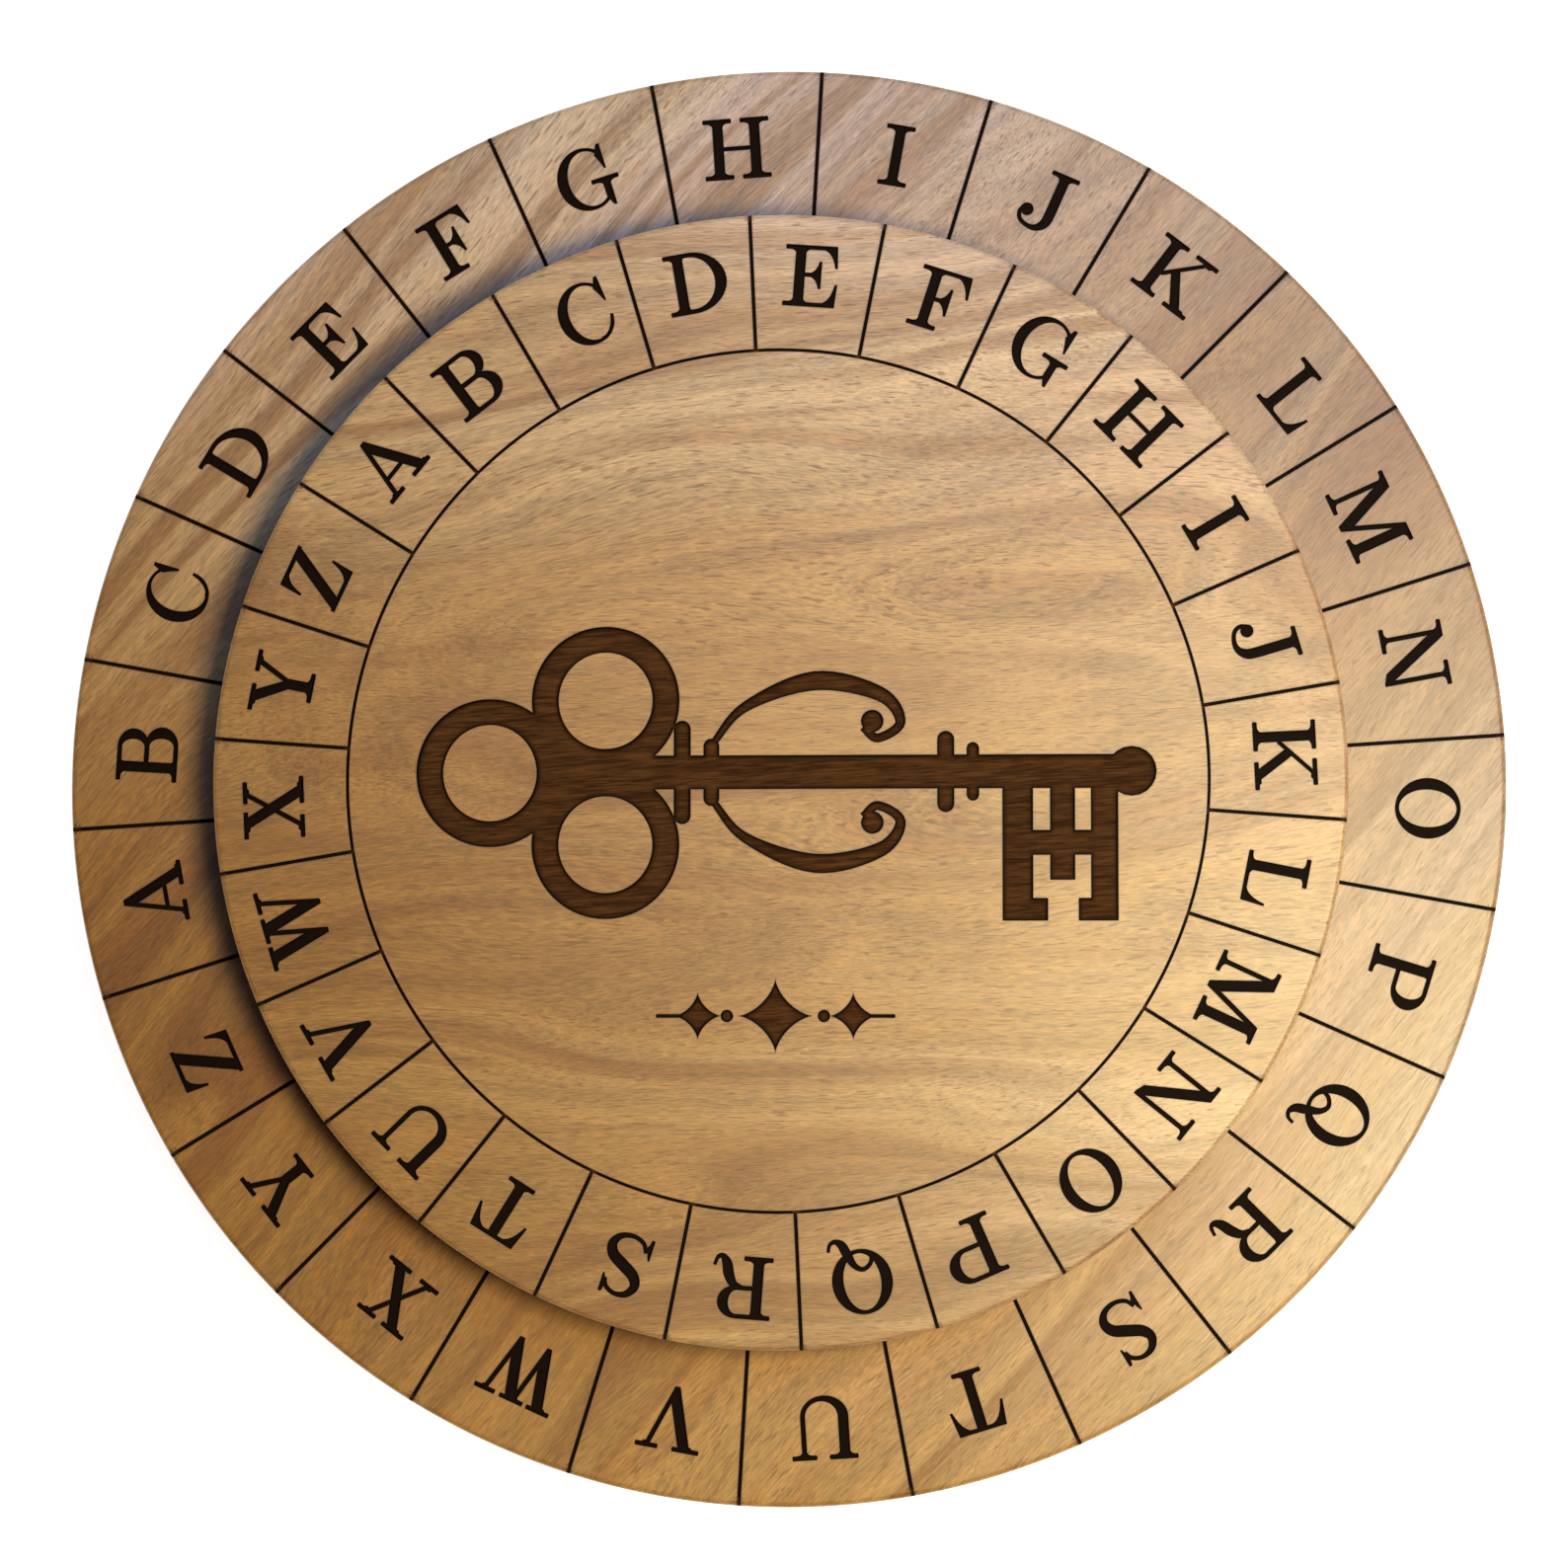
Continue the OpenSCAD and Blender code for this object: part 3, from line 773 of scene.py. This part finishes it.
def vector(tree, operation, *values):
    """A Vector Math node's vector."""
    return add(tree, "ShaderNodeVectorMath", dict(enumerate(values)), operation=operation).outputs[0]


def spread(tree, value, low, high, to_low=0.0, to_high=1.0):
    """Maps low..high smoothly onto to_low..to_high and holds it there outside."""
    inputs = {"Value": value, 1: low, 2: high, 3: to_low, 4: to_high}
    return add(tree, "ShaderNodeMapRange", inputs, interpolation_type="SMOOTHSTEP").outputs[0]


def blend(tree, factor, a, b, mode="MIX"):
    """Mixes two colours."""
    return add(tree, "ShaderNodeMix", {0: factor, 6: a, 7: b}, data_type="RGBA", blend_type=mode).outputs[2]


def noise(tree, place, stretch, detail=2.0, roughness=0.5):
    """Noise between 0 and 1 at place times stretch, which is in features per millimetre along each axis."""
    spot = vector(tree, "MULTIPLY", place, stretch)
    inputs = {"Vector": spot, "Scale": 1.0, "Detail": detail, "Roughness": roughness}
    return add(tree, "ShaderNodeTexNoise", inputs).outputs[0]


def new_group(name, inputs, outputs):
    """An empty shader group with named sockets. Inputs give a type and a default value."""
    tree = bpy.data.node_groups.new(name, "ShaderNodeTree")
    for label, (kind, value) in inputs.items():
        made = tree.interface.new_socket(label, in_out="INPUT", socket_type="NodeSocket" + kind)
        made.default_value = value
    for label, kind in outputs.items():
        tree.interface.new_socket(label, in_out="OUTPUT", socket_type="NodeSocket" + kind)
    return tree, tree.nodes.new("NodeGroupInput").outputs, tree.nodes.new("NodeGroupOutput")


def place_group(tree, group, inputs):
    return add(tree, "ShaderNodeGroup", inputs, node_tree=group).outputs


def millimetres(tree, turn=0.0, centre=(0, 0, 0)):
    """Object coordinates in millimetres about centre, turned so that x runs turn degrees from +X."""
    spot = add(tree, "ShaderNodeTexCoord").outputs["Object"]
    inputs = {"Vector": spot, "Rotation": (0, 0, np.radians(-turn)), "Scale": (1 / MM,) * 3,
              "Location": centre}
    return add(tree, "ShaderNodeMapping", inputs).outputs[0]


print("helpers ready")


# %% Group: solid wood
def solid_wood():
    """Colour, fibre height and gloss of wood at Place, whose x runs along the grain. Broad and rosy change
    the colour over wide bands, and late and band are the darker rings. Season and streak vary the tone,
    fibre and fleck are the fine grain, and dash and speck are pores."""
    sockets = {"Place": ("Vector", (0, 0, 0)), "Pale": ("Color", (0.6, 0.4, 0.2, 1)),
               "Amber": ("Color", (0.5, 0.3, 0.1, 1)), "Rose": ("Color", (0.5, 0.35, 0.22, 1)),
               "Late": ("Color", (0.4, 0.2, 0.06, 1)), "Pith": ("Float", 70.0),
               "Heartward and shade": ("Float", 0.5), "Sheenward": ("Float", 0.0), "Heart and shade tint": ("Color", (1, 1, 1, 1)),
               "Sap and sheen tint": ("Color", (1, 1, 1, 1)), "Painted sheen tint": ("Color", (1, 1, 1, 1))}
    outputs = {"Color": "Color", "Fibre": "Float", "Gloss": "Float"}
    tree, given, out = new_group("Solid wood", sockets, outputs)
    place = given["Place"]
    drift = add(tree, "ShaderNodeTexNoise", {"Vector": vector(tree, "MULTIPLY", place, (0.009, 0.035, 0.010)),
                                             "Scale": 1.0, "Detail": 2.0}).outputs[1]
    drift = vector(tree, "SUBTRACT", drift, (0.5, 0.5, 0.5))
    bent = vector(tree, "ADD", place, vector(tree, "MULTIPLY", drift, (0.0, 24.0, 24.0)))
    x, y, z = add(tree, "ShaderNodeSeparateXYZ", {0: bent}).outputs
    deep = calc(tree, "ADD", z, given["Pith"])
    from_pith = calc(tree, "ADD", calc(tree, "POWER", y, 2.0), calc(tree, "POWER", deep, 2.0))
    from_pith = calc(tree, "SQRT", from_pith)
    shell = {0: x, 1: from_pith, 2: calc(tree, "MULTIPLY", y, 0.15)}
    shell = add(tree, "ShaderNodeCombineXYZ", shell).outputs[0]

    broad = noise(tree, shell, (0.005, 0.22, 0.2), 2.0)
    season = noise(tree, shell, (0.01, 1.1, 0.9), 3.0, 0.6)
    late = noise(tree, vector(tree, "ADD", shell, (40.0, 9.0, 2.0)), (0.007, 0.42, 0.25), 3.0, 0.55)
    band = noise(tree, vector(tree, "ADD", bent, (3.0, 19.0, 60.0)), (0.011, 0.34, 0.34), 2.0, 0.5)
    streak = noise(tree, bent, (0.07, 2.4, 2.4), 3.0, 0.65)
    fibre = noise(tree, bent, (0.7, 8.0, 8.0), 2.0, 0.65)
    dash = noise(tree, bent, (0.5, 5.4, 5.4), 1.0, 0.5)
    fleck = noise(tree, vector(tree, "ADD", bent, (31.0, 7.0, 3.0)), (0.85, 7.0, 7.0), 1.0, 0.5)
    speck = noise(tree, vector(tree, "ADD", bent, (5.0, 77.0, 0.0)), (0.16, 1.5, 1.5), 1.0)
    rosy = noise(tree, shell, (0.008, 0.11, 0.1), 1.0)

    colour = blend(tree, spread(tree, broad, 0.34, 0.66), given["Pale"], given["Amber"])
    colour = blend(tree, spread(tree, rosy, 0.48, 0.68, 0.0, 0.75), colour, given["Rose"])
    darker = calc(tree, "MAXIMUM", spread(tree, late, 0.50, 0.66, 0.0, 0.85),
                  spread(tree, band, 0.52, 0.70, 0.0, 0.65))
    colour = blend(tree, darker, colour, given["Late"])
    # Painted shade and sheen: the heart and shade tint darkens one side of the board, partly heartwood and
    # partly painted shade, and the sap and sheen tint pales and cools the other, partly sapwood and partly
    # painted sheen.
    tint = blend(tree, given["Heartward and shade"], given["Sap and sheen tint"], given["Heart and shade tint"])
    # Painted sheen: the edge tint pales and cools the wood towards two opposite edges.
    edge = blend(tree, given["Sheenward"], (1.0, 1.0, 1.0, 1), given["Painted sheen tint"])
    colour = blend(tree, 1.0, colour, blend(tree, 1.0, tint, edge, "MULTIPLY"), "MULTIPLY")

    tone = calc(tree, "ADD", spread(tree, season, 0.36, 0.64, -0.15, 0.10),
                spread(tree, streak, 0.3, 0.7, -0.05, 0.05))
    tone = calc(tree, "ADD", tone, spread(tree, fibre, 0.30, 0.70, -0.22, 0.22))
    tone = calc(tree, "ADD", tone, spread(tree, fleck, 0.60, 0.76, 0.0, 0.20))
    tone = dict.fromkeys(range(3), calc(tree, "ADD", tone, 1.0))
    tone = add(tree, "ShaderNodeCombineXYZ", tone).outputs[0]
    colour = blend(tree, 1.0, colour, tone, "MULTIPLY")
    pore = spread(tree, dash, 0.60, 0.69)
    colour = blend(tree, calc(tree, "MULTIPLY", pore, 0.62), colour, (0.24, 0.095, 0.024, 1))
    colour = blend(tree, spread(tree, speck, 0.74, 0.84, 0.0, 0.5), colour, (0.15, 0.065, 0.02, 1))

    height = calc(tree, "SUBTRACT", fibre, calc(tree, "MULTIPLY", pore, 0.8))
    tree.links.new(colour, out.inputs["Color"])
    tree.links.new(height, out.inputs["Fibre"])
    tree.links.new(spread(tree, streak, 0.25, 0.75, 0.0, 1.0), out.inputs["Gloss"])
    return tree


wood_group = solid_wood()
print("wood group has", len(wood_group.nodes), "nodes")


# %% Group: scorch
def scorch():
    """The soot attribute as a colour over whatever colour comes in, thinned by the fibres."""
    sockets = {"Color": ("Color", (0.5, 0.3, 0.1, 1)), "Fibre": ("Float", 0.5),
               "Char": ("Color", (0.02, 0.01, 0.005, 1)), "Strength": ("Float", 1.0)}
    tree, given, out = new_group("Scorch", sockets, {"Color": "Color", "Soot": "Float"})
    soot = add(tree, "ShaderNodeAttribute", attribute_name="soot").outputs["Fac"]
    ragged = calc(tree, "ADD", soot, spread(tree, given["Fibre"], 0.2, 0.8, -0.10, 0.10))
    cover = calc(tree, "MULTIPLY", spread(tree, ragged, 0.12, 0.95), given["Strength"], clamp=True)
    tree.links.new(blend(tree, cover, given["Color"], given["Char"]), out.inputs["Color"])
    tree.links.new(cover, out.inputs["Soot"])
    return tree


scorch_group = scorch()


# %% The two boards' finishes
def principled(name, **constants):
    """A material with one Principled shader, whose plain numbers are set on its own sockets."""
    material = bpy.data.materials.new(name)
    material.use_nodes = True
    shader = material.node_tree.nodes["Principled BSDF"]
    for label, value in constants.items():
        shader.inputs[label.replace("_", " ")].default_value = value
    return material, material.node_tree, shader


def bare_wood(name, turn, centre, pith, tints, heart_and_shade_turn, sheen_turn):
    """Satin-finished wood with a faint brown rim of smoke round each cut. The board darkens towards one side,
    partly heartwood and partly painted shade, and pales towards both edges across a second direction, as a
    painted sheen. Both directions are given as turns in degrees from +X."""
    material, tree, shader = principled(name, Coat_Weight=1.0, Coat_Roughness=0.36, Coat_IOR=1.45,
                                        Specular_IOR_Level=0.42)
    place = millimetres(tree, turn, centre)
    across = add(tree, "ShaderNodeSeparateXYZ", {0: millimetres(tree, heart_and_shade_turn)}).outputs[0]
    sheen_offset = add(tree, "ShaderNodeSeparateXYZ", {0: millimetres(tree, sheen_turn)}).outputs[0]
    sheen_offset = calc(tree, "ABSOLUTE", sheen_offset)
    wood = place_group(tree, wood_group, dict(zip(TINT_NAMES, tints)) | {
        "Place": place, "Pith": pith, "Heartward and shade": spread(tree, across, -60.0, 60.0),
        "Sheenward": spread(tree, sheen_offset, 12.0, 60.0)})
    smoke = place_group(tree, scorch_group, {"Color": wood["Color"], "Fibre": wood["Fibre"],
                                             "Char": (0.055, 0.022, 0.008, 1), "Strength": 0.6})
    relief = add(tree, "ShaderNodeBump", {"Height": wood["Fibre"], "Strength": 0.22, "Distance": 0.05 * MM})
    tree.links.new(smoke["Color"], shader.inputs["Base Color"])
    tree.links.new(spread(tree, wood["Gloss"], 0.0, 1.0, 0.46, 0.58), shader.inputs["Roughness"])
    tree.links.new(relief.outputs[0], shader.inputs["Normal"])
    return material


def burnt_wood(name, turn, centre):
    """The floor and walls of a cut: dark brown with paler ridges along the grain, black against the walls."""
    material, tree, shader = principled(name, Specular_IOR_Level=0.05)
    place = millimetres(tree, turn, centre)
    ridges = noise(tree, place, (0.14, 2.2, 2.2), 3.0, 0.6)
    threads = noise(tree, place, (0.5, 7.5, 7.5), 2.0, 0.6)
    grain = calc(tree, "ADD", calc(tree, "MULTIPLY", ridges, 0.4), calc(tree, "MULTIPLY", threads, 0.6))
    dark, ridge = (0.036, 0.0125, 0.0035, 1), (0.125, 0.048, 0.0135, 1)
    colour = blend(tree, spread(tree, grain, 0.36, 0.68), dark, ridge)
    char = place_group(tree, scorch_group, {"Color": colour, "Fibre": grain, "Strength": 1.0,
                                            "Char": (0.008, 0.0030, 0.0012, 1)})
    relief = add(tree, "ShaderNodeBump", {"Height": grain, "Strength": 0.5, "Distance": 0.12 * MM})
    tree.links.new(char["Color"], shader.inputs["Base Color"])
    tree.links.new(spread(tree, char["Soot"], 0.0, 1.0, 0.75, 0.6), shader.inputs["Roughness"])
    tree.links.new(relief.outputs[0], shader.inputs["Normal"])
    return material


TINT_NAMES = ("Pale", "Amber", "Rose", "Late", "Heart and shade tint", "Sap and sheen tint", "Painted sheen tint")
WOOD = [(0.63, 0.39, 0.16, 1), (0.54, 0.30, 0.095, 1), (0.58, 0.345, 0.165, 1), (0.40, 0.19, 0.052, 1)]
# The last three colours of each board are its heart and shade tint, its sap and sheen tint and its painted
# sheen tint: partly wood, partly painted shade and sheen.
BASE_TINTS = WOOD + [(0.64, 0.46, 0.18, 1), (0.77, 0.74, 0.88, 1), (1.43, 1.70, 2.45, 1)]
ROTOR_TINTS = WOOD + [(0.67, 0.52, 0.245, 1), (1.18, 1.21, 1.45, 1), (1.18, 1.32, 1.75, 1)]
base_place = (50.0, (140.0, 20.0, 0.0))
rotor_place = (3.5, (-60.0, -11.0, 5.0))
base_board.data.materials.append(bare_wood("Base wood", *base_place, 62.0, BASE_TINTS, 235, 115))
base_board.data.materials.append(burnt_wood("Base burnt wood", *base_place))
rotor_board.data.materials.append(bare_wood("Rotor wood", *rotor_place, 75.0, ROTOR_TINTS, 215, 112))
rotor_board.data.materials.append(burnt_wood("Rotor burnt wood", *rotor_place))
print("boards finished in", len(bpy.data.materials), "materials")

# %% [markdown]
# ## Hardware
# Everything that lets the disc turn is on the back or between the boards. These CAD nodes keep their exact
# shapes and get finishes that tell how each was made: turned brass, plated steel, a sawn strip, a stamped
# nylon sheet and moulded rubber. The metal parts share one group, rings of tool marks round the axis.


# %% Group: tool marks
def tool_marks():
    sockets = {"Place": ("Vector", (0, 0, 0)), "Fineness": ("Float", 8.0)}
    tree, given, out = new_group("Tool marks", sockets, {"Height": "Float", "Wear": "Float"})
    x, y, z = add(tree, "ShaderNodeSeparateXYZ", {0: given["Place"]}).outputs
    r = calc(tree, "SQRT", calc(tree, "ADD", calc(tree, "POWER", x, 2.0), calc(tree, "POWER", y, 2.0)))
    groove = add(tree, "ShaderNodeCombineXYZ", {0: calc(tree, "MULTIPLY", r, given["Fineness"]),
                                                1: calc(tree, "MULTIPLY", z, given["Fineness"])}).outputs[0]
    rings = noise(tree, groove, (1, 1, 1), 2.0)
    blotch = noise(tree, given["Place"], (0.5, 0.5, 0.5), 4.0, 0.6)
    tree.links.new(rings, out.inputs["Height"])
    tree.links.new(blotch, out.inputs["Wear"])
    return tree


marks_group = tool_marks()


# %% Metal, nylon and rubber
def turned_metal(name, colour, dull, rough, fineness, **constants):
    """Metal whose colour drifts from colour to dull in blotches, over rings of tool marks."""
    material, tree, shader = principled(name, Metallic=1.0, **constants)
    marks = place_group(tree, marks_group, {"Place": millimetres(tree), "Fineness": fineness})
    worn = blend(tree, spread(tree, marks["Wear"], 0.35, 0.7), colour, dull)
    tree.links.new(worn, shader.inputs["Base Color"])
    tree.links.new(spread(tree, marks["Wear"], 0.3, 0.7, rough, rough + 0.16), shader.inputs["Roughness"])
    relief = add(tree, "ShaderNodeBump", {"Height": marks["Height"], "Strength": 0.35, "Distance": 0.02 * MM})
    tree.links.new(relief.outputs[0], shader.inputs["Normal"])
    return material


def soft_stock(name, colour, dusty, rough, grain, **constants):
    """Nylon or rubber: a plain body colour, a little dust and a moulded or sawn surface."""
    material, tree, shader = principled(name, **constants)
    place = millimetres(tree)
    dust = noise(tree, place, (0.25, 0.25, 0.25), 4.0, 0.65)
    pits = noise(tree, place, (grain,) * 3, 3.0, 0.6)
    tree.links.new(blend(tree, spread(tree, dust, 0.45, 0.8), colour, dusty), shader.inputs["Base Color"])
    tree.links.new(spread(tree, pits, 0.3, 0.7, rough, rough + 0.12), shader.inputs["Roughness"])
    relief = add(tree, "ShaderNodeBump", {"Height": pits, "Strength": 0.3, "Distance": 0.04 * MM})
    tree.links.new(relief.outputs[0], shader.inputs["Normal"])
    return material


brass = turned_metal("Turned brass", (0.72, 0.48, 0.17, 1), (0.50, 0.31, 0.11, 1), 0.26, 9.0)
zinc = turned_metal("Zinc plate", (0.60, 0.62, 0.66, 1), (0.42, 0.43, 0.45, 1), 0.28, 7.0)
spring = turned_metal("Spring steel", (0.36, 0.36, 0.37, 1), (0.22, 0.21, 0.20, 1), 0.34, 14.0)
nylon = soft_stock("Natural nylon", (0.80, 0.78, 0.70, 1), (0.70, 0.67, 0.58, 1), 0.42, 3.0,
                   Subsurface_Weight=0.15, Subsurface_Scale=0.002)
rubber = soft_stock("Foot rubber", (0.022, 0.021, 0.020, 1), (0.075, 0.070, 0.064, 1), 0.62, 5.0)
finishes = {"brass": brass, "zinc_steel": zinc, "spring_steel": spring, "nylon": nylon, "foot_rubber": rubber}
for part in frame["record"]["subparts"]:
    finish = finishes.get(part["material_slot"])
    if finish:
        nodes[part["node"]].data.materials.clear()
        nodes[part["node"]].data.materials.append(finish)
print("hardware finished:", sorted(finishes))

# %% [markdown]
# ## Camera, light and floor
# The wheel is seen from nearly straight above, a little to the right of the middle and below it, at arm's
# length, so that the near disc hides slightly more of the base on one side. One warm lamp stands on the
# right, a little below the middle, so that the upper disc throws a narrow shadow up and to the left. A broad
# cool panel far up on the other side lays a pinkish sheen on the coat there, and a dim surround fills in.

# %% Camera
EYE = Vector((26.0, -20.0, BASE_TOP + 380.0)) * MM
AIM = Vector((0.3, -0.1, BASE_TOP)) * MM
VIEW_WIDTH = 141.6 * MM         # what the frame spans at the base's top


def look(eye, aim):
    """A camera matrix with +Y up in the picture: z points back from aim to eye, x is Y cross z."""
    z = (eye - aim).normalized()
    x = Vector((0, 1, 0)).cross(z).normalized()
    return Matrix.Translation(eye) @ Matrix((x, z.cross(x), z)).transposed().to_4x4()


camera_data = bpy.data.cameras.new("Camera")
camera_data.sensor_width = 36.0
camera_data.lens = camera_data.sensor_width * (EYE - AIM).length / VIEW_WIDTH
camera_data.clip_start = 0.01
camera = bpy.data.objects.new("Camera", camera_data)
camera.matrix_world = look(EYE, AIM)
bpy.context.scene.collection.objects.link(camera)
bpy.context.scene.camera = camera
bpy.context.scene.view_settings.view_transform = "Standard"
print(f"lens {camera_data.lens:.1f} mm")


# %% Lamps
def panel(name, place, size, watts, colour):
    """A square lamp at place, in millimetres, facing the middle of the disc."""
    lamp = bpy.data.lights.new(name, "AREA")
    lamp.size = size * MM
    lamp.energy = watts
    lamp.color = colour
    holder = bpy.data.objects.new(name, lamp)
    eye = Vector(place) * MM
    holder.matrix_world = Matrix.Translation(eye) @ (eye - AIM).to_track_quat("Z", "Y").to_matrix().to_4x4()
    bpy.context.scene.collection.objects.link(holder)
    return holder


panel("Key", (90, -30, 280), 90, 0.68, (1.0, 0.86, 0.46))
panel("Window", (120, 160, 420), 300, 0.98, (0.31, 0.54, 1.0))
world = bpy.data.worlds.new("Surround")
world.use_nodes = True
world.node_tree.nodes["Background"].inputs["Color"].default_value = (0.95, 0.90, 0.80, 1)
world.node_tree.nodes["Background"].inputs["Strength"].default_value = 0.03
bpy.context.scene.world = world
print("two lamps and a surround")

# %% Floor
floor_mesh = bpy.data.meshes.new("floor")
FLOOR_HALF = 3.0        # metres
corners = np.array([(-1, -1), (1, -1), (1, 1), (-1, 1)]) * FLOOR_HALF
floor_mesh.from_pydata([(x, y, 0.0) for x, y in corners], [], [(0, 1, 2, 3)])
floor = bpy.data.objects.new("floor", floor_mesh)
bpy.context.scene.collection.objects.link(floor)
paper = principled("Floor", Base_Color=(0.9, 0.9, 0.9, 1), Roughness=0.9, Specular_IOR_Level=0.1,
                   Emission_Color=(1, 1, 1, 1), Emission_Strength=0.9)
floor_mesh.materials.append(paper[0])
